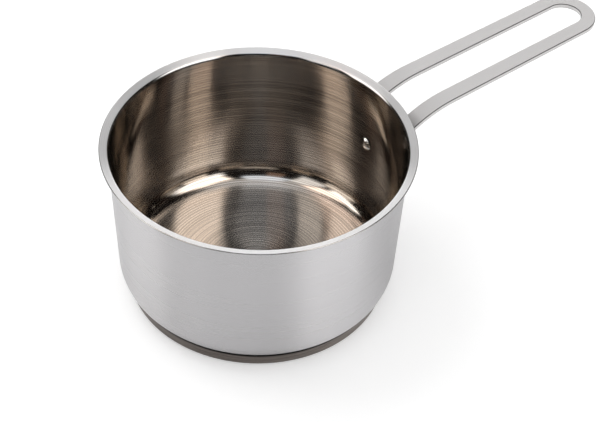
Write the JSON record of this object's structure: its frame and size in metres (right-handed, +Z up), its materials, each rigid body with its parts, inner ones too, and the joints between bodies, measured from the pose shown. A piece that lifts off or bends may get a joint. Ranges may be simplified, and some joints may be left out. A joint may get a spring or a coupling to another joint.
{
  "type": "milk pan",
  "caption": "Small round stainless steel saucepan with a flared pouring rim, a capsule base and a flat looped strip handle.",
  "frame": {"origin": "centre of the base's resting face, on the pan's axis", "axes": "+Z up along the pan's axis, +X from the axis out along the handle, +Y to the left seen from above along the handle"},
  "size_m": [0.3003, 0.15, 0.0848],
  "materials": {
    "cup_steel": "satin, brushed round the axis",
    "core_aluminium": "plain",
    "cap_steel": "satin, brushed round the axis",
    "handle_steel": "satin",
    "rivet_steel": "polished"
  },
  "bodies": {
    "root": {"pan_body": "cup_steel", "base_core": "core_aluminium", "base_cap": "cap_steel", "handle": "handle_steel", "handle_rivet": "rivet_steel"}
  },
  "joints": []
}
